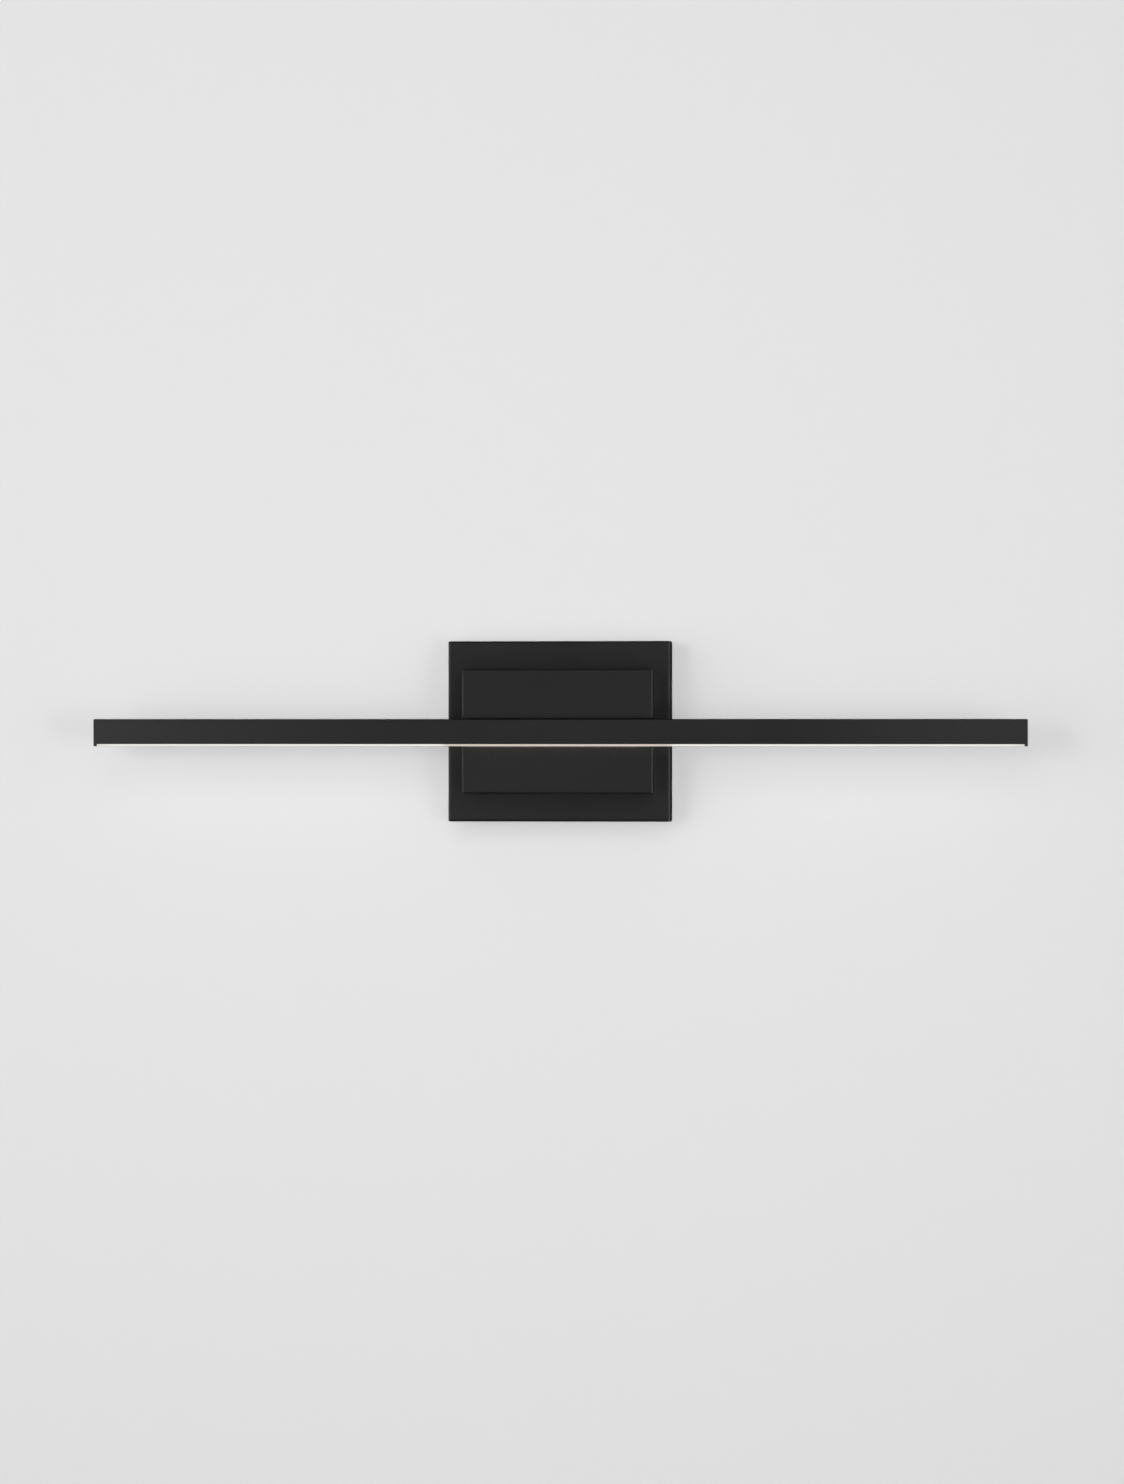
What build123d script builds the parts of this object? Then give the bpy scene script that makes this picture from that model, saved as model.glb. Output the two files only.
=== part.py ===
from build123d import *
from math import pi, radians, tan
import os

os.makedirs("parts", exist_ok=True)

# A wall light with one slim bar. X runs along the bar, Z is up, and the wall is the plane
# Y = 0. The fixture stands on the room's side, so a depth in front of the wall is -Y.
# All sizes are in millimetres.

# Bar: an extrusion in the shape of an H laid on its side, with its lens underneath
bar_length = 610.0
bar_height = 16.3
bar_centre_z = -0.15
bar_depth = 22.0
bar_wall = 1.3
bar_web = 1.5
bar_edge_radius = 0.8
ledge_reach = 0.6
ledge_height = 0.9

# Lens: a frosted hat section that slides in along the bar's ledges
lens_drop = 1.4
lens_wall = 1.2
lens_floor = 1.5
lens_flange_height = 1.1
lens_clearance = 0.1
lens_edge_radius = 0.5

# End caps with plug-in lugs
cap_thickness = 2.0
cap_edge_radius = 0.4
lug_length = 6.0
lug_clearance = 0.1
lower_lug_height = 3.0
lower_lug_width = 14.0

# Backplate: a pressed pan that stands round the wall bracket
plate_width = 147.0
plate_height = 118.8
plate_depth = 18.0
plate_sheet = 1.2
plate_edge_radius = 1.8
plate_corner_radius = 0.9
pan_corner_radius = 0.3
wall_gap = 0.4

# Centre housing: a casting on the backplate, with a channel that holds the bar
housing_width = 125.6
housing_height = 81.5
housing_depth = 20.0
housing_wall = 2.0
housing_edge_radius = 1.4
housing_corner_radius = 1.2
housing_inner_radius = 1.0
floor_space = 2.0
channel_clearance = 0.3
channel_lip_chamfer = 0.3
boss_radius = 3.5
boss_wall_overlap = 0.3
boss_length = 14.0
boss_hole_length = 12.0

# Wall bracket: folded sheet, screwed to a standard wall box
bracket_sheet = 1.5
bracket_width = 122.0
bracket_bottom = -50.0
bracket_corner_radius = 4.0
slot_spacing = 79.4
slot_length = 14.3
slot_width = 4.8
wire_hole_width = 54.0
wire_hole_height = 48.0
wire_hole_radius = 8.0
lip_depth = 11.0
lip_clearance = 0.2
ear_reach = 69.0
ear_height = 16.0
ear_depth = 13.0
fold_radius = 1.2

# Ground screw and the bracket's raised collar for it
ground_x = -34.0
ground_z = -38.0
collar_radius = 4.0
collar_height = 1.5
ground_flange_radius = 5.0
ground_flange_height = 1.0
ground_hex_radius = 3.5
ground_hex_height = 2.6
ground_slot_width = 1.0
ground_slot_depth = 1.2
ground_shank_length = 2.6

# Screws, as radii of the shank and sizes of the head
m3_radius = 1.5
m3_head_radius = 2.8
m3_head_height = 2.0
m4_radius = 2.0
m4_head_radius = 3.8
m4_head_height = 2.4
thread_clearance = 0.05
pass_clearance = 0.2
screw_tip_chamfer = 0.3
head_round_share = 0.45
recess_length_share = 1.15
recess_width_share = 0.3
recess_depth_share = 0.6
housing_screw_length = 11.0
driver_screw_length = 5.2
block_screw_length = 4.7
earth_screw_length = 4.0

# Set screws through the sides of the backplate, which press on the bracket's ears
set_screw_height = 45.9
set_screw_depth = 7.0
set_screw_left_proud = 0.9
set_screw_right_proud = 0.0
set_screw_chamfer = 0.5
set_screw_tip_gap = 0.05
set_screw_hole_gap = 0.3
set_screw_socket_radius = 0.75
set_screw_socket_depth = 1.6
set_nut_radius = 3.0
set_nut_length = 2.0

# Light board
board_length = 580.0
board_width = 16.0
board_thickness = 1.0
tape_thickness = 0.2
chip_length = 3.5
chip_width = 2.8
chip_height = 0.7
chip_pitch = 14.4
chip_count = 40

# Driver that turns mains into the board's low voltage
driver_length = 80.0
driver_height = 25.0
driver_depth = 17.0
driver_middle = 24.5
driver_wall = 1.5
driver_lid_thickness = 1.5
driver_lid_rim = 2.0
driver_clearance = 0.1
driver_corner_radius = 2.0
driver_ear_length = 7.0
driver_ear_height = 8.0
driver_ear_thickness = 2.0
driver_board_length = 76.0
driver_board_height = 21.0
driver_board_gap = 2.5
driver_board_thickness = 1.6
driver_post_radius = 1.8
driver_post_spacing_x = 60.0
driver_post_spacing_z = 14.0
core_length = 16.0
core_height = 15.0
core_depth = 9.0
winding_length = 10.0
winding_height = 18.0
winding_depth = 7.0
winding_radius = 1.5
capacitor_radius = 4.0
capacitor_depth = 9.0
capacitor_spacing = 9.5
capacitor_x = -18.0
capacitor_edge = 0.6
socket_length = 6.0
socket_height = 10.0
socket_depth = 6.0
socket_edge_gap = 2.0

# Terminal block for the house wires
block_width = 36.0
block_height = 16.0
block_depth = 11.0
block_middle = -36.0
block_edge_radius = 0.8
block_ear_length = 6.5
block_ear_height = 9.0
block_ear_depth = 2.5
pole_spacing = 10.0
pole_count = 3
pole_row_spacing = 8.0
pole_screw_radius = 1.9
pole_screw_height = 2.4
pole_slot_width = 0.7
pole_slot_depth = 0.8
pole_well_radius = 2.2
pole_well_depth = 3.0
entry_radius = 1.4
entry_depth = 5.0

# Leads inside the fixture, and the places that they pass
mains_radius = 0.9
low_voltage_radius = 0.8
lead_hole_radius = 1.2
lead_bend_share = 0.45
lead_pitch = 4.0
lead_insert = 4.0
wire_slot_width = 8.0
wire_slot_height = 12.0
wire_slot_gap = 13.0
live_turn_z = 4.0
neutral_turn_z = 8.0
low_voltage_depth = 12.5
low_voltage_low_z = 2.3
low_voltage_high_z = 4.4
grommet_bend = 6.0
chamber_bend = 7.0
web_lead_spread = 2.0
ring_x = 37.0
ring_z = -15.5
ring_radius = 4.0
ring_thickness = 0.8
ring_hole_gap = 0.15
barrel_start = 25.0
barrel_end = 31.0
barrel_radius = 1.6
neck_half_width = 1.4
earth_turn_x = 17.0
earth_turn_z = -19.0

# Bar fixing and lead passage in the housing's channel
bar_screw_x = 35.0
bar_screw_length = 8.0
bar_nut_length = 20.0
bar_nut_depth = 3.0
bar_nut_clearance = 0.15
bar_nut_seat_gap = 0.05
grommet_x = 14.0
grommet_flange_radius = 5.5
grommet_flange = 1.4
grommet_sleeve_radius = 3.2
grommet_bore_radius = 2.3
grommet_reach = 0.4
grommet_fit = 0.1
web_hole_x = 40.0
web_hole_radius = 3.5
screw_access_radius = 4.5
lead_access_radius = 7.0

# Places that follow from the sizes above
floor_back = plate_depth + floor_space
bar_back = floor_back + housing_wall
bar_middle = bar_back + bar_depth / 2
bar_top = bar_centre_z + bar_height / 2
bar_bottom = bar_centre_z - bar_height / 2
bar_body_length = bar_length - 2 * cap_thickness
bar_inner_depth = bar_depth - 2 * bar_wall
chamber_height = bar_top - bar_wall
chamber_middle = chamber_height / 2
cavity_height = -bar_web - bar_bottom
lens_bottom = bar_bottom - lens_drop
lens_flange_bottom = bar_bottom + ledge_height + lens_clearance
lens_top = lens_flange_bottom + lens_flange_height
lens_depth = bar_inner_depth - 2 * ledge_reach - 2 * lens_clearance
lens_flange_depth = bar_inner_depth - 2 * lens_clearance
cap_middle = (bar_top + lens_bottom) / 2
housing_inner_width = housing_width - 2 * housing_wall
housing_inner_height = housing_height - 2 * housing_wall
channel_top = bar_top + channel_clearance
channel_bottom = lens_bottom - channel_clearance
boss_spacing_x = housing_inner_width - 2 * boss_radius + 2 * boss_wall_overlap
boss_spacing_z = housing_inner_height - 2 * boss_radius + 2 * boss_wall_overlap
sheet_back = plate_depth - plate_sheet
pan_inner_width = plate_width - 2 * plate_sheet
pan_inner_height = plate_height - 2 * plate_sheet
bracket_top = pan_inner_height / 2 - lip_clearance
driver_inner_length = driver_length - 2 * driver_wall
driver_inner_height = driver_height - 2 * driver_wall
driver_lid_back = plate_depth + driver_depth - driver_lid_thickness
driver_board_back = plate_depth + driver_wall + driver_board_gap
driver_board_front = driver_board_back + driver_board_thickness
driver_ear_x = driver_length / 2 + driver_ear_length / 2
driver_ear_z = driver_middle - driver_height / 2 + driver_ear_height / 2
socket_x = driver_board_length / 2 - socket_edge_gap
wire_slot_x = driver_length / 2 + wire_slot_gap
block_top = block_middle + block_height / 2
block_bottom = block_middle - block_height / 2
block_back = sheet_back - block_depth
block_centre_depth = sheet_back - block_depth / 2
block_ear_x = block_width / 2 + block_ear_length / 2
lead_low_z = driver_middle - lead_pitch / 2
lead_high_z = driver_middle + lead_pitch / 2
lead_driver_depth = driver_board_front + socket_depth / 2
barrel_depth = sheet_back - barrel_radius
board_top = -bar_web - tape_thickness
board_bottom = board_top - board_thickness
no_limit = bar_length


def at(x, depth, z):
    """A point given by its depth in front of the wall."""
    return (x, -depth, z)


def facing_wall(x, depth, z):
    """A plane whose normal points back at the wall, for what is fixed from behind."""
    return Plane(origin=at(x, depth, z), x_dir=(1, 0, 0), z_dir=(0, 1, 0))


def facing_room(x, depth, z):
    """A plane whose normal points out into the room."""
    return Plane(origin=at(x, depth, z), x_dir=(1, 0, 0), z_dir=(0, -1, 0))


def pan_head_screw(shank_radius, shank_length, head_radius, head_height):
    """A pan head screw with a cross recess: its seat is at Z = 0 and its head points up."""
    with BuildPart() as screw:
        with BuildSketch():
            Circle(shank_radius)
        extrude(amount=-shank_length)
        chamfer(screw.edges().group_by(Axis.Z)[0], screw_tip_chamfer)
        with BuildSketch():
            Circle(head_radius)
        extrude(amount=head_height)
        fillet(screw.edges().group_by(Axis.Z)[-1], head_round_share * head_height)
        with BuildSketch(Plane.XY.offset(head_height)):
            Rectangle(recess_length_share * head_radius, recess_width_share * head_radius)
            Rectangle(recess_width_share * head_radius, recess_length_share * head_radius)
        extrude(amount=-recess_depth_share * head_height, mode=Mode.SUBTRACT)
    return screw.part


def lead(name, points, radius, bend_limits):
    """A round insulated lead along straight runs and arcs, each arc as wide as its runs allow."""
    corners = [Vector(point) for point in points]
    runs = [after - before for before, after in zip(corners, corners[1:])]
    bends = []
    for before, after, limit in zip(runs, runs[1:], bend_limits):
        half_turn = radians(before.get_angle(after)) / 2
        widest = lead_bend_share * min(before.length, after.length) / tan(half_turn)
        bends.append(min(widest, limit))
    with BuildPart() as tube:
        with BuildLine() as route:
            FilletPolyline(*points, radius=bends)
        with BuildSketch(Plane(origin=route.line @ 0, z_dir=route.line % 0)):
            Circle(radius)
        sweep(path=route.line)
    section_times_length = pi * radius**2 * sum(edge.length for edge in route.edges())
    print(name, "bends", [round(bend, 1) for bend in bends])
    print(name, "volume share", round(tube.part.volume / section_times_length, 4))
    return tube.part


# Wall bracket: flat sheet with a lip along its top, an ear at each side and a screw collar
with BuildPart() as mounting_bracket:
    with BuildSketch(Plane.XZ) as sheet:
        with Locations((0, (bracket_top + bracket_bottom) / 2)):
            Rectangle(bracket_width, bracket_top - bracket_bottom)
        fillet(sheet.vertices().group_by(Axis.Y)[0], bracket_corner_radius)
        with Locations((0, set_screw_height)):
            Rectangle(2 * ear_reach, ear_height)
        RectangleRounded(wire_hole_width, wire_hole_height, wire_hole_radius, mode=Mode.SUBTRACT)
        with GridLocations(slot_spacing, 0, 2, 1):
            SlotOverall(slot_length, slot_width, mode=Mode.SUBTRACT)
    extrude(amount=bracket_sheet)
    for side in (-1, 1):
        with BuildSketch(Plane.YZ.offset(side * ear_reach)) as ear:
            with Locations((-ear_depth / 2, set_screw_height)):
                Rectangle(ear_depth, ear_height)
            fillet(ear.vertices().group_by(Axis.X)[0], bracket_corner_radius)
        extrude(amount=-side * bracket_sheet)
    with BuildSketch(Plane.XY.offset(bracket_top)) as lip:
        with Locations((0, -lip_depth / 2)):
            Rectangle(bracket_width, lip_depth)
        fillet(lip.vertices().group_by(Axis.Y)[0], bracket_corner_radius)
    extrude(amount=-bracket_sheet)
    upright_edges = mounting_bracket.edges().filter_by(Axis.Z)
    left_fold = upright_edges.group_by(Axis.X)[0].sort_by(Axis.Y)[-1]
    right_fold = upright_edges.group_by(Axis.X)[-1].sort_by(Axis.Y)[-1]
    level_edges = mounting_bracket.edges().filter_by(Axis.X)
    top_fold = level_edges.group_by(Axis.Z)[-1].sort_by(Axis.Y)[-1]
    fillet([left_fold, right_fold, top_fold], fold_radius)
    with BuildSketch(Plane.XZ.offset(bracket_sheet)):
        with Locations((ground_x, ground_z)):
            Circle(collar_radius)
    extrude(amount=collar_height)
    with BuildSketch(Plane.XZ):
        with Locations((ground_x, ground_z)):
            Circle(m4_radius + thread_clearance)
    extrude(amount=bracket_sheet + collar_height, mode=Mode.SUBTRACT)
mounting_bracket.part.label = "mounting_bracket"
export_step(mounting_bracket.part, "parts/mounting_bracket.step")

# Ground screw: hex head on a washer flange, with a slot, in the bracket's collar
with BuildPart() as ground_screw:
    seat = facing_room(ground_x, bracket_sheet + collar_height, ground_z)
    with BuildSketch(seat):
        Circle(m4_radius)
    extrude(amount=-ground_shank_length)
    with BuildSketch(seat):
        Circle(ground_flange_radius)
    extrude(amount=ground_flange_height)
    with BuildSketch(seat.offset(ground_flange_height)):
        RegularPolygon(ground_hex_radius, 6, major_radius=False)
    extrude(amount=ground_hex_height)
    with BuildSketch(seat.offset(ground_flange_height + ground_hex_height)):
        Rectangle(2 * ground_flange_radius, ground_slot_width)
    extrude(amount=-ground_slot_depth, mode=Mode.SUBTRACT)
ground_screw.part.label = "ground_screw"
export_step(ground_screw.part, "parts/ground_screw.step")

# Backplate: pan with a rounded front edge, open to the wall, with its openings and screw holes
with BuildPart() as backplate:
    with BuildSketch(Plane.XZ.offset(wall_gap)):
        RectangleRounded(plate_width, plate_height, plate_corner_radius)
    extrude(amount=plate_depth - wall_gap)
    fillet(backplate.faces().sort_by(Axis.Y)[0].edges(), plate_edge_radius)
    with BuildSketch(Plane.XZ.offset(wall_gap)):
        RectangleRounded(pan_inner_width, pan_inner_height, pan_corner_radius)
    extrude(amount=sheet_back - wall_gap, mode=Mode.SUBTRACT)
    with BuildSketch(Plane.XZ.offset(sheet_back)):
        with Locations((grommet_x, chamber_middle)):
            Circle(lead_access_radius)
        for side in (-1, 1):
            with Locations((side * bar_screw_x, chamber_middle)):
                Circle(screw_access_radius)
            with Locations((side * wire_slot_x, driver_middle)):
                SlotOverall(wire_slot_height, wire_slot_width, rotation=90)
            with Locations((side * driver_ear_x, driver_ear_z)):
                Circle(m3_radius + thread_clearance)
            with Locations((side * block_ear_x, block_middle)):
                Circle(m3_radius + thread_clearance)
        with GridLocations(boss_spacing_x, boss_spacing_z, 2, 2):
            Circle(m3_radius + pass_clearance)
        with Locations((ring_x, ring_z)):
            Circle(m4_radius + thread_clearance)
    extrude(amount=plate_sheet, mode=Mode.SUBTRACT)
    with BuildSketch(Plane.YZ.offset(-plate_width / 2)):
        with Locations((-set_screw_depth, set_screw_height)):
            Circle(m3_radius + set_screw_hole_gap)
    extrude(amount=plate_width, mode=Mode.SUBTRACT)
backplate.part.label = "backplate"
export_step(backplate.part, "parts/backplate.step")

# Clinch nuts inside the backplate's sides, for the set screws
with BuildPart() as set_screw_nuts:
    for side in (-1, 1):
        with BuildSketch(Plane.YZ.offset(side * pan_inner_width / 2)):
            with Locations((-set_screw_depth, set_screw_height)):
                Circle(set_nut_radius)
                Circle(m3_radius + thread_clearance, mode=Mode.SUBTRACT)
        extrude(amount=-side * set_nut_length)
set_screw_nuts.part.label = "set_screw_nuts"
export_step(set_screw_nuts.part, "parts/set_screw_nuts.step")

# Set screws: headless, with a hex socket, reaching from the plate's side to the bracket's ear
for side, name, proud in (
    (-1, "set_screw_left", set_screw_left_proud),
    (1, "set_screw_right", set_screw_right_proud),
):
    tip_x = ear_reach + set_screw_tip_gap
    outer_x = plate_width / 2 + proud
    with BuildPart() as set_screw:
        with BuildSketch(Plane.YZ.offset(side * tip_x)):
            with Locations((-set_screw_depth, set_screw_height)):
                Circle(m3_radius)
        extrude(amount=side * (outer_x - tip_x))
        chamfer(set_screw.edges().filter_by(GeomType.CIRCLE), set_screw_chamfer)
        with BuildSketch(Plane.YZ.offset(side * outer_x)):
            with Locations((-set_screw_depth, set_screw_height)):
                RegularPolygon(set_screw_socket_radius, 6, major_radius=False)
        extrude(amount=-side * set_screw_socket_depth, mode=Mode.SUBTRACT)
    set_screw.part.label = name
    export_step(set_screw.part, f"parts/{name}.step")

# Centre housing: hollow casting, open at the back, with the bar's channel across its front
with BuildPart() as center_housing:
    with BuildSketch(Plane.XZ.offset(plate_depth)):
        RectangleRounded(housing_width, housing_height, housing_corner_radius)
    extrude(amount=housing_depth)
    fillet(center_housing.faces().sort_by(Axis.Y)[0].edges(), housing_edge_radius)
    with BuildSketch(Plane.XZ.offset(plate_depth)):
        RectangleRounded(housing_inner_width, housing_inner_height, housing_inner_radius)
    extrude(amount=housing_depth - housing_wall, mode=Mode.SUBTRACT)
    trough_depth = housing_depth - floor_space - housing_wall
    trough_height = channel_top - channel_bottom + 2 * housing_wall
    with BuildSketch(Plane.YZ.offset(-housing_inner_width / 2)):
        with Locations((-floor_back - trough_depth / 2, (channel_top + channel_bottom) / 2)):
            Rectangle(trough_depth, trough_height)
    extrude(amount=housing_inner_width)
    with BuildSketch(Plane.YZ.offset(-housing_width / 2)):
        with Locations((-bar_back - housing_depth / 2, (channel_top + channel_bottom) / 2)):
            Rectangle(housing_depth, channel_top - channel_bottom)
    extrude(amount=housing_width, mode=Mode.SUBTRACT)
    front_edges = center_housing.edges().filter_by(Axis.X).group_by(Axis.Y)[0]
    chamfer(front_edges.filter_by_position(Axis.Z, channel_bottom, channel_top), channel_lip_chamfer)
    with BuildSketch(Plane.XZ.offset(plate_depth)):
        with GridLocations(boss_spacing_x, boss_spacing_z, 2, 2):
            Circle(boss_radius)
    extrude(amount=boss_length)
    with BuildSketch(Plane.XZ.offset(plate_depth)):
        with GridLocations(boss_spacing_x, boss_spacing_z, 2, 2):
            Circle(m3_radius + thread_clearance)
    extrude(amount=boss_hole_length, mode=Mode.SUBTRACT)
    with BuildSketch(Plane.XZ.offset(floor_back)):
        with Locations((0, chamber_middle)):
            with GridLocations(2 * bar_screw_x, 0, 2, 1):
                Circle(m3_radius + pass_clearance)
        with Locations((grommet_x, chamber_middle)):
            Circle(grommet_sleeve_radius + grommet_fit)
    extrude(amount=housing_wall, mode=Mode.SUBTRACT)
center_housing.part.label = "center_housing"
export_step(center_housing.part, "parts/center_housing.step")

# Four screws from inside the backplate into the housing's bosses
with BuildPart() as housing_screws:
    corners = [(x, z) for x in (-1, 1) for z in (-1, 1)]
    seats = [facing_wall(x * boss_spacing_x / 2, sheet_back, z * boss_spacing_z / 2) for x, z in corners]
    with Locations(*seats):
        add(pan_head_screw(m3_radius, housing_screw_length, m3_head_radius, m3_head_height))
housing_screws.part.label = "housing_screws"
export_step(housing_screws.part, "parts/housing_screws.step")

# Bar: upper chamber for leads and nuts, web for the board, lower cavity with ledges for the lens
with BuildPart() as bar_channel:
    with BuildSketch(Plane.YZ.offset(-bar_body_length / 2)):
        with Locations((-bar_middle, bar_centre_z)):
            RectangleRounded(bar_depth, bar_height, bar_edge_radius)
        with Locations((-bar_middle, chamber_middle)):
            Rectangle(bar_inner_depth, chamber_height, mode=Mode.SUBTRACT)
        with Locations((-bar_middle, bar_bottom + cavity_height / 2)):
            Rectangle(bar_inner_depth, cavity_height, mode=Mode.SUBTRACT)
        for side in (-1, 1):
            ledge_y = -bar_middle + side * (bar_inner_depth - ledge_reach) / 2
            with Locations((ledge_y, bar_bottom + ledge_height / 2)):
                Rectangle(ledge_reach, ledge_height)
    extrude(amount=bar_body_length)
    with BuildSketch(Plane.XZ.offset(bar_back)):
        with Locations((0, chamber_middle)):
            with GridLocations(2 * bar_screw_x, 0, 2, 1):
                Circle(m3_radius + pass_clearance)
        with Locations((grommet_x, chamber_middle)):
            Circle(grommet_sleeve_radius + grommet_fit)
    extrude(amount=bar_wall, mode=Mode.SUBTRACT)
    with BuildSketch(Plane.XY.offset(-bar_web)):
        with Locations((web_hole_x, -bar_middle)):
            Circle(web_hole_radius)
    extrude(amount=bar_web, mode=Mode.SUBTRACT)
bar_channel.part.label = "bar_channel"
export_step(bar_channel.part, "parts/bar_channel.step")

# Nut plates in the bar's upper chamber
with BuildPart() as bar_nuts:
    nut_height = chamber_height - 2 * bar_nut_clearance
    with BuildSketch(Plane.XZ.offset(bar_back + bar_wall + bar_nut_seat_gap)):
        with Locations((0, chamber_middle)):
            with GridLocations(2 * bar_screw_x, 0, 2, 1):
                Rectangle(bar_nut_length, nut_height)
                Circle(m3_radius + thread_clearance, mode=Mode.SUBTRACT)
    extrude(amount=bar_nut_depth)
bar_nuts.part.label = "bar_nuts"
export_step(bar_nuts.part, "parts/bar_nuts.step")

# Screws through the channel's floor into the nut plates
with BuildPart() as bar_screws:
    seats = [facing_wall(side * bar_screw_x, floor_back, chamber_middle) for side in (-1, 1)]
    with Locations(*seats):
        add(pan_head_screw(m3_radius, bar_screw_length, m3_head_radius, m3_head_height))
bar_screws.part.label = "bar_screws"
export_step(bar_screws.part, "parts/bar_screws.step")

# Grommet that lines the lead passage from the housing into the bar
with BuildPart() as wire_grommet:
    flange_plane = facing_room(grommet_x, floor_back - grommet_flange, chamber_middle)
    sleeve_length = housing_wall + bar_wall + grommet_reach
    with BuildSketch(flange_plane):
        Circle(grommet_flange_radius)
    extrude(amount=grommet_flange)
    with BuildSketch(flange_plane):
        Circle(grommet_sleeve_radius)
    extrude(amount=grommet_flange + sleeve_length)
    with BuildSketch(flange_plane):
        Circle(grommet_bore_radius)
    extrude(amount=grommet_flange + sleeve_length, mode=Mode.SUBTRACT)
wire_grommet.part.label = "wire_grommet"
export_step(wire_grommet.part, "parts/wire_grommet.step")

# Thermal tape between the web and the light board, with a hole for the leads
with BuildPart() as thermal_tape:
    with BuildSketch(Plane.XY.offset(board_top)):
        with Locations((0, -bar_middle)):
            Rectangle(board_length, board_width)
        with Locations((web_hole_x, -bar_middle)):
            Circle(web_hole_radius, mode=Mode.SUBTRACT)
    extrude(amount=tape_thickness)
thermal_tape.part.label = "thermal_tape"
export_step(thermal_tape.part, "parts/thermal_tape.step")

# Light board under the web
with BuildPart() as led_board:
    with BuildSketch(Plane.XY.offset(board_bottom)):
        with Locations((0, -bar_middle)):
            Rectangle(board_length, board_width)
    extrude(amount=board_thickness)
led_board.part.label = "led_board"
export_step(led_board.part, "parts/led_board.step")

# Light chips in one row along the board
with BuildPart() as led_chips:
    with BuildSketch(Plane.XY.offset(board_bottom)):
        with Locations((0, -bar_middle)):
            with GridLocations(chip_pitch, 0, chip_count, 1):
                Rectangle(chip_length, chip_width)
    extrude(amount=-chip_height)
led_chips.part.label = "led_chips"
export_step(led_chips.part, "parts/led_chips.step")

# Lens: flanges on the bar's ledges and a body that hangs below the bar's face
with BuildPart() as diffuser:
    lens_length = bar_body_length - 2 * lens_clearance
    with BuildSketch(Plane.YZ.offset(-lens_length / 2)) as hat:
        with Locations((-bar_middle, (lens_top + lens_bottom) / 2)):
            Rectangle(lens_depth, lens_top - lens_bottom)
        fillet(hat.vertices().group_by(Axis.Y)[0], lens_edge_radius)
        with Locations((-bar_middle, (lens_top + lens_flange_bottom) / 2)):
            Rectangle(lens_flange_depth, lens_flange_height)
        with Locations((-bar_middle, (lens_top + lens_bottom + lens_floor) / 2)):
            Rectangle(lens_depth - 2 * lens_wall, lens_top - lens_bottom - lens_floor, mode=Mode.SUBTRACT)
    extrude(amount=lens_length)
diffuser.part.label = "diffuser"
export_step(diffuser.part, "parts/diffuser.step")

# End caps: a plate over the bar's section and the lens, with two lugs inside the bar
for side, name in ((-1, "end_cap_left"), (1, "end_cap_right")):
    with BuildPart() as end_cap:
        with BuildSketch(Plane.YZ.offset(side * bar_body_length / 2)):
            with Locations((-bar_middle, cap_middle)):
                RectangleRounded(bar_depth, bar_top - lens_bottom, bar_edge_radius)
        extrude(amount=side * cap_thickness)
        outer_face = end_cap.faces().filter_by(Axis.X).sort_by(Axis.X)[-1 if side > 0 else 0]
        fillet(outer_face.edges(), cap_edge_radius)
        with BuildSketch(Plane.YZ.offset(side * bar_body_length / 2)):
            with Locations((-bar_middle, chamber_middle)):
                Rectangle(bar_inner_depth - 2 * lug_clearance, chamber_height - 2 * lug_clearance)
            with Locations((-bar_middle, -bar_web - lug_clearance - lower_lug_height / 2)):
                Rectangle(lower_lug_width, lower_lug_height)
        extrude(amount=-side * lug_length)
    end_cap.part.label = name
    export_step(end_cap.part, f"parts/{name}.step")

# Driver case: open tray with screw ears, board posts and lead holes in its ends
with BuildPart() as driver_case:
    case_depth = driver_depth - driver_lid_thickness
    case_plane = facing_room(0, plate_depth, driver_middle)
    with BuildSketch(case_plane):
        RectangleRounded(driver_length, driver_height, driver_corner_radius)
    extrude(amount=case_depth)
    with BuildSketch(case_plane.offset(driver_wall)):
        RectangleRounded(driver_inner_length, driver_inner_height, driver_corner_radius - driver_wall)
    extrude(amount=case_depth - driver_wall, mode=Mode.SUBTRACT)
    with BuildSketch(case_plane.offset(driver_wall)):
        with GridLocations(driver_post_spacing_x, driver_post_spacing_z, 2, 2):
            Circle(driver_post_radius)
    extrude(amount=driver_board_gap)
    for side in (-1, 1):
        with BuildSketch(facing_room(side * driver_ear_x, plate_depth, driver_ear_z)):
            Rectangle(driver_ear_length, driver_ear_height)
            Circle(m3_radius + pass_clearance, mode=Mode.SUBTRACT)
        extrude(amount=driver_ear_thickness)
    with BuildSketch(Plane.YZ.offset(-driver_length / 2)):
        with Locations((-lead_driver_depth, driver_middle)):
            with GridLocations(0, lead_pitch, 1, 2):
                Circle(lead_hole_radius)
    extrude(amount=driver_length, mode=Mode.SUBTRACT)
driver_case.part.label = "driver_case"
export_step(driver_case.part, "parts/driver_case.step")

# Driver lid with a rim that drops inside the case
with BuildPart() as driver_lid:
    lid_plane = facing_room(0, driver_lid_back, driver_middle)
    rim_length = driver_inner_length - 2 * driver_clearance
    rim_height = driver_inner_height - 2 * driver_clearance
    with BuildSketch(lid_plane):
        RectangleRounded(driver_length, driver_height, driver_corner_radius)
    extrude(amount=driver_lid_thickness)
    with BuildSketch(lid_plane):
        RectangleRounded(rim_length, rim_height, driver_corner_radius - driver_wall)
        Rectangle(rim_length - 2 * driver_wall, rim_height - 2 * driver_wall, mode=Mode.SUBTRACT)
    extrude(amount=-driver_lid_rim)
driver_lid.part.label = "driver_lid"
export_step(driver_lid.part, "parts/driver_lid.step")

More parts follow.
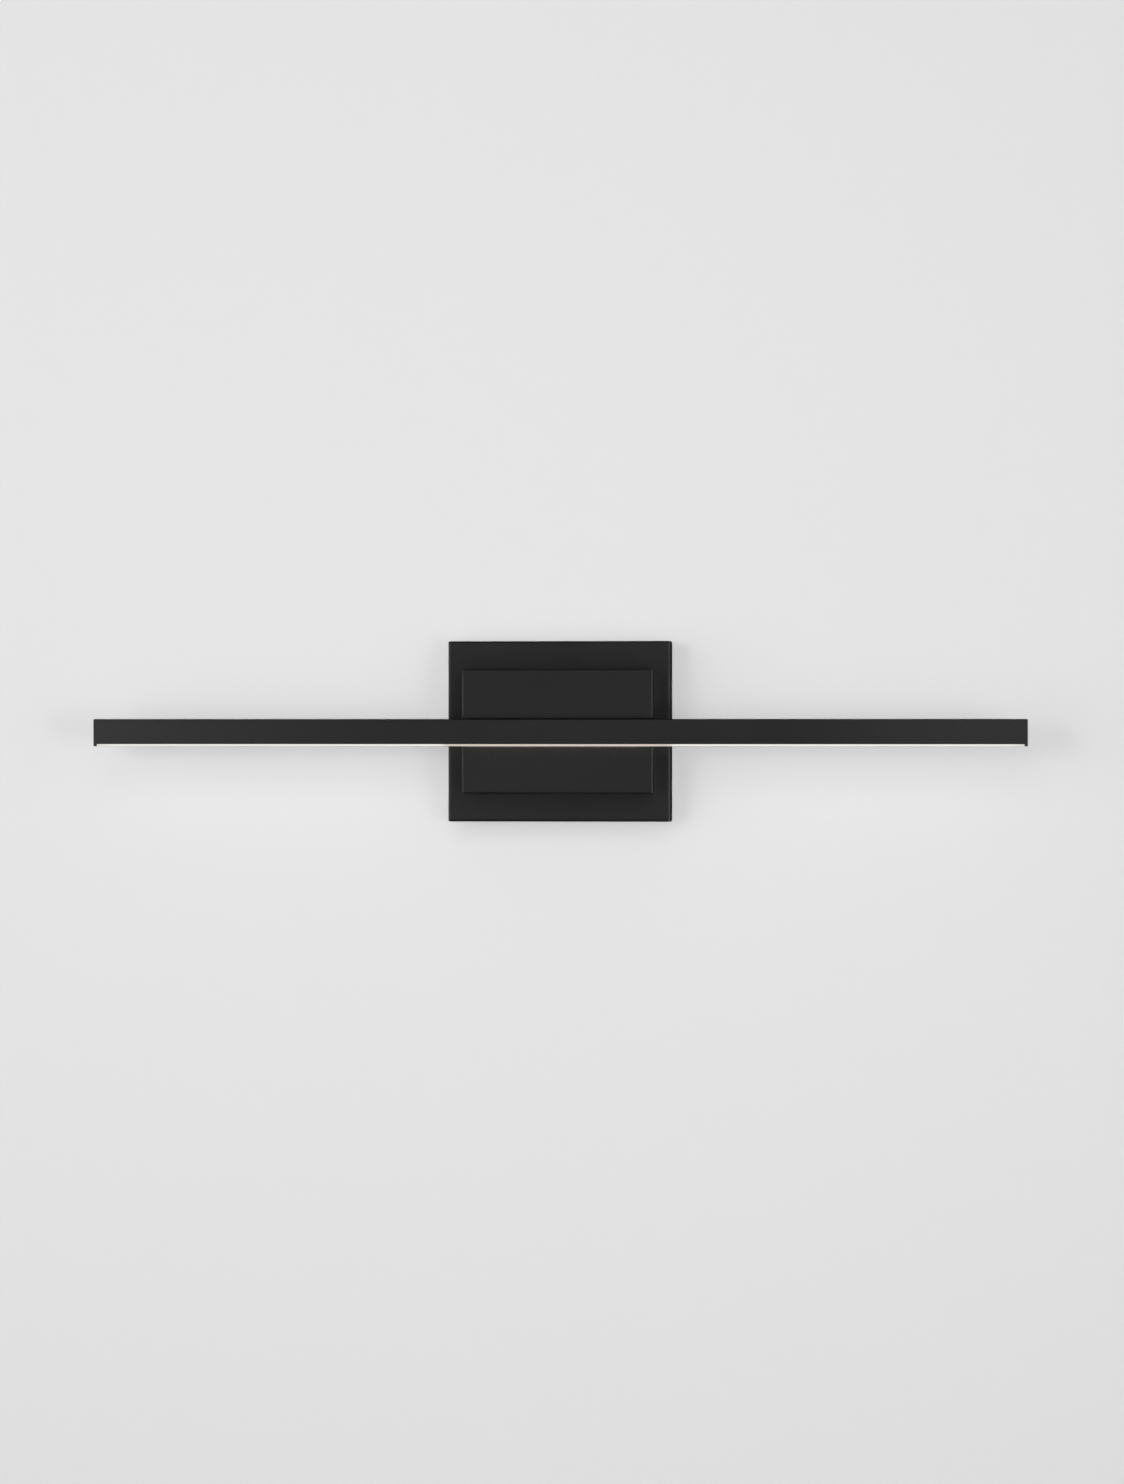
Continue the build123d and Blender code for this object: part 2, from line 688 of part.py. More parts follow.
# Driver circuit board on the case's posts
with BuildPart() as driver_board:
    with BuildSketch(facing_room(0, driver_board_back, driver_middle)):
        Rectangle(driver_board_length, driver_board_height)
    extrude(amount=driver_board_thickness)
driver_board.part.label = "driver_board"
export_step(driver_board.part, "parts/driver_board.step")

# Transformer: ferrite core with a winding through it
with BuildPart() as driver_transformer:
    transformer_plane = facing_room(0, driver_board_front, driver_middle)
    with BuildSketch(transformer_plane):
        Rectangle(core_length, core_height)
    extrude(amount=core_depth)
    with BuildSketch(transformer_plane):
        RectangleRounded(winding_length, winding_height, winding_radius)
    extrude(amount=winding_depth)
driver_transformer.part.label = "driver_transformer"
export_step(driver_transformer.part, "parts/driver_transformer.step")

# Two capacitors beside the transformer
with BuildPart() as driver_capacitors:
    with BuildSketch(facing_room(capacitor_x, driver_board_front, driver_middle)):
        with GridLocations(0, capacitor_spacing, 1, 2):
            Circle(capacitor_radius)
    extrude(amount=capacitor_depth)
    chamfer(driver_capacitors.faces().sort_by(Axis.Y)[:2].edges(), capacitor_edge)
driver_capacitors.part.label = "driver_capacitors"
export_step(driver_capacitors.part, "parts/driver_capacitors.step")

# Lead sockets at the ends of the driver's board
with BuildPart() as driver_sockets:
    socket_spacing = 2 * socket_x - socket_length
    with BuildSketch(facing_room(0, driver_board_front, driver_middle)):
        with GridLocations(socket_spacing, 0, 2, 1):
            Rectangle(socket_length, socket_height)
    extrude(amount=socket_depth)
driver_sockets.part.label = "driver_sockets"
export_step(driver_sockets.part, "parts/driver_sockets.step")

# Screws through the driver's ears into the backplate
with BuildPart() as driver_screws:
    seat_depth = plate_depth + driver_ear_thickness
    seats = [facing_room(side * driver_ear_x, seat_depth, driver_ear_z) for side in (-1, 1)]
    with Locations(*seats):
        add(pan_head_screw(m3_radius, driver_screw_length, m3_head_radius, m3_head_height))
driver_screws.part.label = "driver_screws"
export_step(driver_screws.part, "parts/driver_screws.step")

# Terminal block on the back of the plate's sheet, with wire entries above and below
with BuildPart() as terminal_block:
    block_plane = facing_wall(0, sheet_back, block_middle)
    with BuildSketch(block_plane):
        RectangleRounded(block_width, block_height, block_edge_radius)
    extrude(amount=block_depth)
    with BuildSketch(block_plane):
        Rectangle(block_width + 2 * block_ear_length, block_ear_height)
        with GridLocations(2 * block_ear_x, 0, 2, 1):
            Circle(m3_radius + pass_clearance, mode=Mode.SUBTRACT)
    extrude(amount=block_ear_depth)
    with BuildSketch(facing_wall(0, block_back, block_middle)):
        with GridLocations(pole_spacing, pole_row_spacing, pole_count, 2):
            Circle(pole_well_radius)
    extrude(amount=-pole_well_depth, mode=Mode.SUBTRACT)
    for entry_z, inward in ((block_top, -1), (block_bottom, 1)):
        with BuildSketch(Plane.XY.offset(entry_z)):
            with Locations((0, -block_centre_depth)):
                with GridLocations(pole_spacing, 0, pole_count, 1):
                    Circle(entry_radius)
        extrude(amount=inward * entry_depth, mode=Mode.SUBTRACT)
terminal_block.part.label = "terminal_block"
export_step(terminal_block.part, "parts/terminal_block.step")

# Slotted terminal screws at the bottom of the block's wells
with BuildPart() as terminal_screws:
    well_floor = facing_wall(0, block_back + pole_well_depth, block_middle)
    with BuildSketch(well_floor):
        with GridLocations(pole_spacing, pole_row_spacing, pole_count, 2):
            Circle(pole_screw_radius)
    extrude(amount=pole_screw_height)
    with BuildSketch(well_floor.offset(pole_screw_height)):
        with GridLocations(pole_spacing, pole_row_spacing, pole_count, 2):
            Rectangle(2 * pole_screw_radius, pole_slot_width)
    extrude(amount=-pole_slot_depth, mode=Mode.SUBTRACT)
terminal_screws.part.label = "terminal_screws"
export_step(terminal_screws.part, "parts/terminal_screws.step")

# Screws that hold the terminal block to the backplate
with BuildPart() as terminal_block_screws:
    seat_depth = sheet_back - block_ear_depth
    seats = [facing_wall(side * block_ear_x, seat_depth, block_middle) for side in (-1, 1)]
    with Locations(*seats):
        add(pan_head_screw(m3_radius, block_screw_length, m3_head_radius, m3_head_height))
terminal_block_screws.part.label = "terminal_block_screws"
export_step(terminal_block_screws.part, "parts/terminal_block_screws.step")

# Ring terminal on the backplate, with a crimped barrel for the earth lead
with BuildPart() as ring_terminal:
    with BuildSketch(facing_wall(ring_x, sheet_back, ring_z)):
        Circle(ring_radius)
        with Locations(((barrel_end - ring_x) / 2, 0)):
            Rectangle(ring_x - barrel_end, 2 * neck_half_width)
        Circle(m4_radius + ring_hole_gap, mode=Mode.SUBTRACT)
    extrude(amount=ring_thickness)
    with BuildSketch(Plane.YZ.offset(barrel_start)):
        with Locations((-barrel_depth, ring_z)):
            Circle(barrel_radius)
    extrude(amount=barrel_end - barrel_start)
    with BuildSketch(Plane.YZ.offset(barrel_start)):
        with Locations((-barrel_depth, ring_z)):
            Circle(mains_radius + thread_clearance)
    extrude(amount=lead_insert, mode=Mode.SUBTRACT)
ring_terminal.part.label = "ring_terminal"
export_step(ring_terminal.part, "parts/ring_terminal.step")

# Earth screw that clamps the ring terminal
with BuildPart() as earth_screw:
    with Locations(facing_wall(ring_x, sheet_back - ring_thickness, ring_z)):
        add(pan_head_screw(m4_radius, earth_screw_length, m4_head_radius, m4_head_height))
earth_screw.part.label = "earth_screw"
export_step(earth_screw.part, "parts/earth_screw.step")

# Mains leads from the terminal block, through the left slot, to the driver's input socket
live_route = [
    at(-pole_spacing, block_centre_depth, block_top - lead_insert),
    at(-pole_spacing, block_centre_depth, live_turn_z),
    at(-wire_slot_x, block_centre_depth, lead_low_z),
    at(-wire_slot_x, lead_driver_depth, lead_low_z),
    at(-socket_x, lead_driver_depth, lead_low_z),
]
neutral_route = [
    at(0, block_centre_depth, block_top - lead_insert),
    at(0, block_centre_depth, neutral_turn_z),
    at(-wire_slot_x, block_centre_depth, lead_high_z),
    at(-wire_slot_x, lead_driver_depth, lead_high_z),
    at(-socket_x, lead_driver_depth, lead_high_z),
]
mains_limits = [no_limit, no_limit, no_limit]

# Earth lead from the terminal block to the ring terminal
earth_route = [
    at(pole_spacing, block_centre_depth, block_top - lead_insert),
    at(pole_spacing, block_centre_depth, earth_turn_z),
    at(earth_turn_x, barrel_depth, ring_z),
    at(barrel_start + lead_insert, barrel_depth, ring_z),
]
earth_limits = [no_limit, no_limit]

# Low-voltage leads from the driver, through the grommet and the bar's chamber, to the board
positive_depth = bar_middle - web_lead_spread
negative_depth = bar_middle + web_lead_spread
positive_route = [
    at(socket_x, lead_driver_depth, lead_low_z),
    at(wire_slot_x, lead_driver_depth, lead_low_z),
    at(wire_slot_x, low_voltage_depth, lead_low_z),
    at(grommet_x, low_voltage_depth, low_voltage_low_z),
    at(grommet_x, positive_depth, low_voltage_low_z),
    at(web_hole_x, positive_depth, low_voltage_low_z),
    at(web_hole_x, positive_depth, board_top),
]
negative_route = [
    at(socket_x, lead_driver_depth, lead_high_z),
    at(wire_slot_x, lead_driver_depth, lead_high_z),
    at(wire_slot_x, low_voltage_depth, lead_high_z),
    at(grommet_x, low_voltage_depth, low_voltage_high_z),
    at(grommet_x, negative_depth, low_voltage_high_z),
    at(web_hole_x, negative_depth, low_voltage_high_z),
    at(web_hole_x, negative_depth, board_top),
]
low_voltage_limits = [no_limit, no_limit, grommet_bend, chamber_bend, no_limit]

leads = (
    ("live_lead", live_route, mains_radius, mains_limits),
    ("neutral_lead", neutral_route, mains_radius, mains_limits),
    ("earth_lead", earth_route, mains_radius, earth_limits),
    ("positive_lead", positive_route, low_voltage_radius, low_voltage_limits),
    ("negative_lead", negative_route, low_voltage_radius, low_voltage_limits),
)
for name, route_points, radius, limits in leads:
    finished_lead = lead(name, route_points, radius, limits)
    finished_lead.label = name
    export_step(finished_lead, f"parts/{name}.step")
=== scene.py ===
import bpy
import math
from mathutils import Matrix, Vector


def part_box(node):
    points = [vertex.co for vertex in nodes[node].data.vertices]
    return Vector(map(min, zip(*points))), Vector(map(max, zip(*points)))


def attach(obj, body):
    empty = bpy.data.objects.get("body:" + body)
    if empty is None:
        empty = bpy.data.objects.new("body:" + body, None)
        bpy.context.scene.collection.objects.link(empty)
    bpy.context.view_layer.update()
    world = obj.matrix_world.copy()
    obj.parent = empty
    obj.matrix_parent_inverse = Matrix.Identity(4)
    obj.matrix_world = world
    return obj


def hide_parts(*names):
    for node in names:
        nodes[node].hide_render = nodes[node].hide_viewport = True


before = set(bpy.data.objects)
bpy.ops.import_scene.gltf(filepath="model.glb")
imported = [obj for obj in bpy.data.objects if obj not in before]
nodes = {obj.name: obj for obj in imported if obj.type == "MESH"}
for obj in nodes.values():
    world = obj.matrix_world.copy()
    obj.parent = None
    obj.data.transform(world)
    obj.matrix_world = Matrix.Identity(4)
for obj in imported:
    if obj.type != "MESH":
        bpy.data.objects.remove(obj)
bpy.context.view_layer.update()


# camera

cameraSettings = {
    "photoSize": (1124, 1484),       # the photograph's frame, in pixels
    "plateMiddle": (559.5, 731.4),   # where the backplate's middle is in it
    "lens": 93.35,                   # mm, on a 36 mm sensor along the long side
    "sensor": 36.0,
    "distance": 2.5,                 # m, from the bar's face
    "sideStep": 0.171,               # m, to the right of the object's middle
    "farthest": 60.0,                # m, what is still shown
}


def placeCamera(settings):
    width, height = settings["photoSize"]
    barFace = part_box("bar_channel")[0].y
    plateLow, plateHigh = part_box("backplate")
    target = (plateLow + plateHigh) / 2
    target.y = plateLow.y
    place = Vector((settings["sideStep"], barFace - settings["distance"], target.z))
    focalPixels = settings["lens"] / settings["sensor"] * height
    metresPerPixel = (target - place).length / focalPixels
    pixelX, pixelY = settings["plateMiddle"]
    aim = target + Vector((width / 2 - pixelX, 0, pixelY - height / 2)) * metresPerPixel
    data = bpy.data.cameras.new("camera")
    data.lens = settings["lens"]
    data.sensor_width = settings["sensor"]
    data.clip_end = settings["farthest"]
    camera = bpy.data.objects.new("camera", data)
    camera.location = place
    camera.rotation_mode = "QUATERNION"
    camera.rotation_quaternion = (aim - place).to_track_quat("-Z", "Y")
    bpy.context.scene.collection.objects.link(camera)
    bpy.context.scene.camera = camera


placeCamera(cameraSettings)
print("camera placed")


# node helpers

def feed(tree, node, inputs):  # links a socket, or sets a plain value
    for key, value in inputs.items():
        if isinstance(value, bpy.types.NodeSocket):
            tree.links.new(value, node.inputs[key])
        else:
            node.inputs[key].default_value = value


def addNode(tree, kind, inputs=None, **settings):
    node = tree.nodes.new(kind)
    for key, value in settings.items():
        setattr(node, key, value)
    feed(tree, node, inputs or {})
    return node


def maths(tree, operation, first, second=0.0):
    return addNode(tree, "ShaderNodeMath", {0: first, 1: second}, operation=operation).outputs[0]


def combine(tree, x, y, z):
    return addNode(tree, "ShaderNodeCombineXYZ", {0: x, 1: y, 2: z}).outputs[0]


def startMaterial(name):
    material = bpy.data.materials.new(name)
    material.use_nodes = True
    tree = material.node_tree
    return material, tree, tree.nodes["Principled BSDF"]


def objectPlace(tree, stretch=(1, 1, 1)):
    place = addNode(tree, "ShaderNodeTexCoord").outputs["Object"]
    return addNode(tree, "ShaderNodeMapping", {"Vector": place, "Scale": stretch}).outputs["Vector"]


def along(tree, axis):
    return addNode(tree, "ShaderNodeSeparateXYZ", {0: objectPlace(tree)}).outputs[axis]


def noise(tree, perMetre, detail=2.0, stretch=(1, 1, 1)):
    inputs = {"Vector": objectPlace(tree, stretch), "Scale": perMetre, "Detail": detail}
    return addNode(tree, "ShaderNodeTexNoise", inputs).outputs["Fac"]


# most noise lies between the start and stop that spread and tint begin with
def spread(tree, factor, low, high, start=0.3, stop=0.7):
    inputs = {"Value": factor, "From Min": start, "From Max": stop, "To Min": low, "To Max": high}
    return addNode(tree, "ShaderNodeMapRange", inputs).outputs[0]


def tint(tree, factor, first, second, start=0.3, stop=0.7):
    ramp = addNode(tree, "ShaderNodeValToRGB", {0: factor})
    for element, place, colour in zip(ramp.color_ramp.elements, (start, stop), (first, second)):
        element.position = place
        element.color = (*colour, 1)
    return ramp.outputs[0]


def choose(tree, factor, first, second):
    inputs = {0: factor}
    for key, colour in ((6, first), (7, second)):  # the mix node's two colour sockets
        inputs[key] = colour if isinstance(colour, bpy.types.NodeSocket) else (*colour, 1)
    return addNode(tree, "ShaderNodeMix", inputs, data_type="RGBA").outputs[2]


def relief(tree, shader, height, depth):
    bump = addNode(tree, "ShaderNodeBump", {"Height": height, "Distance": depth, "Strength": 1.0})
    for link in shader.inputs["Normal"].links:  # lies on an earlier relief
        tree.links.new(link.from_socket, bump.inputs["Normal"])
    feed(tree, shader, {"Normal": bump.outputs[0]})


# stage

stageSettings = {
    "wallReach": 1.6,                   # m, each way from the object
    "wallGap": 0.0002,                  # m, behind the object, so that no two faces lie in one plane
    "wallFade": (0.85, 1.55),           # m from the object, where the wall goes over into the backdrop
    "wallColour": (0.80, 0.80, 0.80),
    "wallInGloss": (0.08, 0.08, 0.08),  # how it is mirrored in the coat
    "wallRoughness": 0.9,
    "coveredShare": 0.985,              # of the backplate's size, where light gets in behind it
    "worldColour": (1.0, 1.0, 1.0),
    "worldLight": 0.004,                # what the room gives from all sides
    "worldShown": 0.80,                 # what is seen behind the object from other sides
}


def wallPaint(settings):
    material, tree, shader = startMaterial("wall_paint")
    path = addNode(tree, "ShaderNodeLightPath").outputs
    feed(tree, shader, {
        "Base Color": choose(tree, path["Is Glossy Ray"], settings["wallColour"], settings["wallInGloss"]),
        "Roughness": settings["wallRoughness"],
        "Specular IOR Level": 0.0})
    # light from behind comes in only where the backplate covers the wall
    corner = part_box("backplate")[1]
    across = maths(tree, "DIVIDE", maths(tree, "ABSOLUTE", along(tree, "X")), corner.x)
    upward = maths(tree, "DIVIDE", maths(tree, "ABSOLUTE", along(tree, "Z")), corner.z)
    covered = maths(tree, "LESS_THAN", maths(tree, "MAXIMUM", across, upward), settings["coveredShare"])
    letIn = maths(tree, "MULTIPLY", covered, maths(tree, "SUBTRACT", 1.0, path["Is Camera Ray"]))
    # seen through from behind, and faded out far from the object
    behind = addNode(tree, "ShaderNodeNewGeometry").outputs["Backfacing"]
    away = addNode(tree, "ShaderNodeVectorMath", {0: objectPlace(tree)}, operation="LENGTH")
    fade = spread(tree, away.outputs["Value"], 0.0, 1.0, *settings["wallFade"])
    unseen = maths(tree, "MAXIMUM", maths(tree, "MAXIMUM", behind, letIn), fade)
    clear = addNode(tree, "ShaderNodeBsdfTransparent")
    blend = addNode(tree, "ShaderNodeMixShader", {0: unseen, 1: shader.outputs[0], 2: clear.outputs[0]})
    feed(tree, tree.nodes["Material Output"], {"Surface": blend.outputs[0]})
    return material


def makeWall(settings):
    reach = settings["wallReach"]
    signs = ((-1, -1), (1, -1), (1, 1), (-1, 1))
    corners = [(x * reach, settings["wallGap"], z * reach) for x, z in signs]
    mesh = bpy.data.meshes.new("stage_wall")
    mesh.from_pydata(corners, [], [(0, 1, 2, 3)])
    mesh.materials.append(wallPaint(settings))
    wall = bpy.data.objects.new("stage_wall", mesh)
    bpy.context.scene.collection.objects.link(wall)


def makeWorld(settings):
    world = bpy.data.worlds.new("studio")
    bpy.context.scene.world = world
    world.use_nodes = True
    tree = world.node_tree
    seen = addNode(tree, "ShaderNodeLightPath").outputs["Is Camera Ray"]
    feed(tree, tree.nodes["Background"], {
        "Color": (*settings["worldColour"], 1),
        "Strength": spread(tree, seen, settings["worldLight"], settings["worldShown"], 0.0, 1.0)})


studioLights = {
    # name: degrees right of the wall's normal, degrees up, distance, width, height, power, lit surfaces
    "front_axis": (3.9, 0, 3.0, 0.08, 0.08, 47.3, "matt"),
    "front_high": (0, 35, 3.2, 2.0, 1.0, 9.7, "matt"),
    "overhead": (0, 60, 3.0, 2.5, 1.5, 2.6, "matt"),
    "panel_left": (-32.6, 7, 3.0, 0.55, 0.55, 7.4, "matt"),
    "tall_near_left": (-26, 0, 3.0, 0.6, 3.2, 4.4, "matt"),
    "tall_left": (-42, 0, 3.0, 0.6, 3.2, 10.1, "matt"),
    "tall_far_left": (-60, 0, 3.0, 0.6, 3.2, 6.7, "matt"),
    "side_left": (-72, 0, 3.0, 1.5, 2.0, 9.7, "matt"),
    "panel_right": (36.5, -5.4, 3.0, 0.7, 0.7, 9.3, "matt"),
    "tall_right": (56, 0, 3.0, 0.6, 3.2, 7.1, "matt"),
    "strip_left": (-23, 0, 3.0, 0.45, 3.2, 9.4, "gloss"),
    "strip_side_left": (-75, 0, 3.0, 0.45, 3.2, 20.0, "gloss"),
    "strip_right": (22, 0, 3.0, 0.45, 3.2, 7.0, "gloss"),
    "gloss_low_right": (40, -22, 3.0, 0.9, 0.9, 32.0, "gloss"),
    "gloss_high_right": (31, 29, 3.0, 0.9, 0.9, 21.0, "gloss"),
    "sheen_low_left": (-45, -25, 3.0, 1.2, 1.2, 2.4, "gloss"),
    "sheen_side_right": (78, -3, 3.0, 0.8, 0.8, 1.6, "gloss"),
    "back_left": (-140, 10, 3.0, 1.4, 1.4, 9.0, "both"),
    "back_right": (135, -14, 3.0, 1.8, 1.8, 11.0, "both"),
    "back_high": (180, 45, 3.0, 1.6, 1.0, 9.0, "both"),
}


def makeLights(settings):
    for name, (right, up, distance, width, height, power, lit) in settings.items():
        data = bpy.data.lights.new(name, "AREA")
        data.shape = "RECTANGLE"
        data.size = width
        data.size_y = height
        data.energy = power
        light = bpy.data.objects.new(name, data)
        turn = math.radians(right)
        lift = math.radians(up)
        level = math.cos(lift)
        place = Vector((math.sin(turn) * level, -math.cos(turn) * level, math.sin(lift))) * distance
        light.location = place
        light.rotation_mode = "QUATERNION"
        light.rotation_quaternion = (-place).to_track_quat("-Z", "Y")
        light.visible_camera = False
        light.visible_glossy = lit != "matt"
        light.visible_diffuse = lit != "gloss"
        bpy.context.scene.collection.objects.link(light)


makeWall(stageSettings)
makeWorld(stageSettings)
makeLights(studioLights)
view = bpy.context.scene.view_settings
view.view_transform = "Standard"
view.look = "None"
print("stage and lights made")


# finishes

plateCoat = {
    "dark": (0.0048, 0.0048, 0.0050), "light": (0.0074, 0.0074, 0.0076),  # across the powder's grains
    "grain": 2600.0, "clump": 750.0, "drift": 11.0,                       # per metre
    "speckle": (0.38, 0.62),                                              # noise that is dark, and light
    "roughness": (0.34, 0.38),
    "specular": 0.8,
    "grainDepth": 0.000003, "clumpDepth": 0.000010,                       # m
}
barCoat = dict(
    plateCoat, dark=(0.0036, 0.0036, 0.0038), light=(0.0060, 0.0060, 0.0062), drift=6.0)


def powderCoat(name, settings):
    material, tree, shader = startMaterial(name)
    grain = noise(tree, settings["grain"], detail=3.0)
    clump = noise(tree, settings["clump"])
    drift = noise(tree, settings["drift"])
    mean = maths(tree, "MULTIPLY", maths(tree, "ADD", grain, clump), 0.5)
    feed(tree, shader, {
        "Base Color": tint(tree, mean, settings["dark"], settings["light"], *settings["speckle"]),
        "Roughness": spread(tree, drift, *settings["roughness"]),
        "Specular IOR Level": settings["specular"]})
    relief(tree, shader, clump, settings["clumpDepth"])
    relief(tree, shader, grain, settings["grainDepth"])
    return material


lensFinish = {
    "colour": (0.30, 0.29, 0.28),       # frosted acrylic sends little light straight back
    "shade": 0.94,                      # share of the colour in the frost's darker spots
    "glow": (0.40, 0.33, 0.27),         # what the chips send out through it
    "paintedWallLight": (0.20, 0.25, 0.30),     # painted light: an emission that stands in for the wall's light coming through the lens, where no plate is behind
    "spill": 4.2,                       # times the glow, of light held in the channel
    "roughness": (0.42, 0.55),
    "frost": 1800.0, "frostDepth": 0.00001,
    "fade": 0.012,                      # m, how far the glow changes at the housing's and the lens's ends
    "endGlow": 0.82,                    # share of the glow at the lens's ends
    "skin": 0.000004,                   # m, what counts as the underside
    "plateFade": (-0.001, 0.003),       # m from the backplate's edge, where the wall's glow comes in
}


def frostedLens(name, settings):
    material, tree, shader = startMaterial(name)
    lensLow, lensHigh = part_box("diffuser")
    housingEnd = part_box("center_housing")[1].x
    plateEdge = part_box("backplate")[1].x
    plateStart, plateStop = settings["plateFade"]
    fade = settings["fade"]
    frost = noise(tree, settings["frost"], detail=3.0)
    reach = maths(tree, "ABSOLUTE", along(tree, "X"))
    underside = maths(tree, "LESS_THAN", along(tree, "Z"), lensLow.z + settings["skin"])
    outside = spread(tree, reach, 0.0, 1.0, housingEnd - fade, housingEnd)
    beside = spread(tree, reach, 0.0, 1.0, plateEdge + plateStart, plateEdge + plateStop)
    # painted light from the wall joins the chips' glow beside the plate, and below the bar outside the
    # channel
    paintedWallLightMask = maths(tree, "MAXIMUM", beside, maths(tree, "MULTIPLY", underside, outside))
    both = [own + through for own, through in zip(settings["glow"], settings["paintedWallLight"])]
    held = maths(tree, "MULTIPLY", underside, maths(tree, "SUBTRACT", 1.0, outside))
    spill = maths(tree, "MULTIPLY", held, settings["spill"])
    strength = spread(tree, reach, 1.0, settings["endGlow"], lensHigh.x - fade, lensHigh.x)
    shaded = [channel * settings["shade"] for channel in settings["colour"]]
    feed(tree, shader, {
        "Base Color": tint(tree, frost, shaded, settings["colour"]),
        "Roughness": spread(tree, frost, *settings["roughness"]),
        # the emission colour adds the painted wall light where its mask is set
        "Emission Color": choose(tree, paintedWallLightMask, settings["glow"], both),
        "Emission Strength": maths(tree, "ADD", strength, spill)})
    relief(tree, shader, frost, settings["frostDepth"])
    return material


zincFinish = {
    "dull": (0.50, 0.52, 0.54), "bright": (0.66, 0.67, 0.68),
    "blush": (0.62, 0.60, 0.52),                       # faint yellow of the passivated zinc
    "blushShare": 0.35, "blushFrom": (0.45, 0.65),     # its most, and the noise where it comes in
    "roughness": (0.26, 0.44),
    "spangle": 260.0, "rolling": 90.0, "cloud": 45.0,  # per metre
    "rollingStretch": (1, 12, 12),                     # drawn out along the sheet
    "rollingDepth": 0.000008,                          # m
}


def zincPlate(name, settings):
    material, tree, shader = startMaterial(name)
    spangle = noise(tree, settings["spangle"])
    rolled = noise(tree, settings["rolling"], detail=4.0, stretch=settings["rollingStretch"])
    cloud = noise(tree, settings["cloud"], detail=1.0)
    steel = tint(tree, spangle, settings["dull"], settings["bright"])
    blush = spread(tree, cloud, 0.0, settings["blushShare"], *settings["blushFrom"])
    feed(tree, shader, {
        "Base Color": choose(tree, blush, steel, settings["blush"]),
        "Metallic": 1.0,
        "Roughness": spread(tree, rolled, *settings["roughness"])})
    relief(tree, shader, rolled, settings["rollingDepth"])
    return material


# plain finishes: colours, roughness, metal share, grain per metre and its depth in metres
plainFinishes = {
    "black_steel": {
        "colours": ((0.014, 0.014, 0.015), (0.03, 0.03, 0.032)), "roughness": (0.32, 0.48),
        "metal": 0.6, "grain": 1500.0, "depth": 0.000008},
    "ground_green": {
        "colours": ((0.012, 0.15, 0.045), (0.025, 0.26, 0.08)), "roughness": (0.26, 0.42),
        "metal": 0.45, "grain": 700.0, "depth": 0.00001},
    "terminal_brass": {
        "colours": ((0.62, 0.42, 0.16), (0.80, 0.60, 0.28)), "roughness": (0.24, 0.40),
        "metal": 1.0, "grain": 900.0, "depth": 0.000006},
    "white_nylon": {
        "colours": ((0.74, 0.73, 0.68), (0.83, 0.82, 0.78)), "roughness": (0.42, 0.58),
        "metal": 0.0, "grain": 1400.0, "depth": 0.00002},
    "driver_plastic": {
        "colours": ((0.66, 0.66, 0.65), (0.76, 0.76, 0.75)), "roughness": (0.48, 0.64),
        "metal": 0.0, "grain": 2000.0, "depth": 0.00003},
    "thermal_pad": {
        "colours": ((0.44, 0.45, 0.47), (0.60, 0.61, 0.63)), "roughness": (0.75, 0.9),
        "metal": 0.0, "grain": 1100.0, "depth": 0.00003},
    "grommet_rubber": {
        "colours": ((0.012, 0.012, 0.012), (0.028, 0.028, 0.028)), "roughness": (0.62, 0.8),
        "metal": 0.0, "grain": 1600.0, "depth": 0.00002},
}
leadColours = {
    "lead_black": ((0.012, 0.012, 0.013), (0.022, 0.022, 0.024)),
    "lead_white": ((0.74, 0.74, 0.71), (0.84, 0.84, 0.82)),
    "lead_green": ((0.015, 0.22, 0.06), (0.03, 0.33, 0.1)),
    "lead_red": ((0.36, 0.016, 0.016), (0.52, 0.03, 0.03)),
}
for leadName, colours in leadColours.items():
    plainFinishes[leadName] = {
        "colours": colours, "roughness": (0.3, 0.42), "metal": 0.0, "grain": 420.0, "depth": 0.00002}
grainsPerCloud = 12


def plainFinish(name, settings):
    material, tree, shader = startMaterial(name)
    grain = noise(tree, settings["grain"], detail=3.0)
    cloud = noise(tree, settings["grain"] / grainsPerCloud)
    feed(tree, shader, {
        "Base Color": tint(tree, cloud, *settings["colours"]),
        "Metallic": settings["metal"],
        "Roughness": spread(tree, grain, *settings["roughness"])})
    relief(tree, shader, grain, settings["depth"])
    return material


boardFinishes = {
    "circuit_board": {
        "mask": (0.010, 0.095, 0.04), "trace": (0.028, 0.19, 0.075), "roughness": (0.26, 0.40),
        "pattern": 330.0, "line": 0.05, "depth": 0.00003, "grain": 600.0,
        "turn": math.pi / 2},  # stands upright
    "board_white": {
        "mask": (0.80, 0.80, 0.78), "trace": (0.68, 0.68, 0.66), "roughness": (0.34, 0.48),
        "pattern": 180.0, "line": 0.03, "depth": 0.00002, "grain": 600.0,
        "turn": 0.0},          # lies flat
}


def printedBoard(name, settings):
    material, tree, shader = startMaterial(name)
    turned = addNode(
        tree, "ShaderNodeMapping", {"Vector": objectPlace(tree), "Rotation": (settings["turn"], 0, 0)})
    bricks = addNode(tree, "ShaderNodeTexBrick", {
        "Vector": turned.outputs[0], "Scale": settings["pattern"], "Mortar Size": settings["line"]})
    lines = bricks.outputs["Fac"]
    feed(tree, shader, {
        "Base Color": choose(tree, lines, settings["mask"], settings["trace"]),
        "Roughness": spread(tree, noise(tree, settings["grain"]), *settings["roughness"])})
    relief(tree, shader, lines, settings["depth"])
    return material


transformerFinish = {
    "ferrite": ((0.035, 0.035, 0.038), (0.075, 0.075, 0.08)),
    "tape": (0.62, 0.36, 0.05),
    "roughness": (0.5, 0.72), "grain": 1700.0, "depth": 0.00003,
    "coreHeight": 0.015,   # m, the winding stands out above and below it
    "tapeStart": 0.0001,   # m, clear of the core's own faces
}


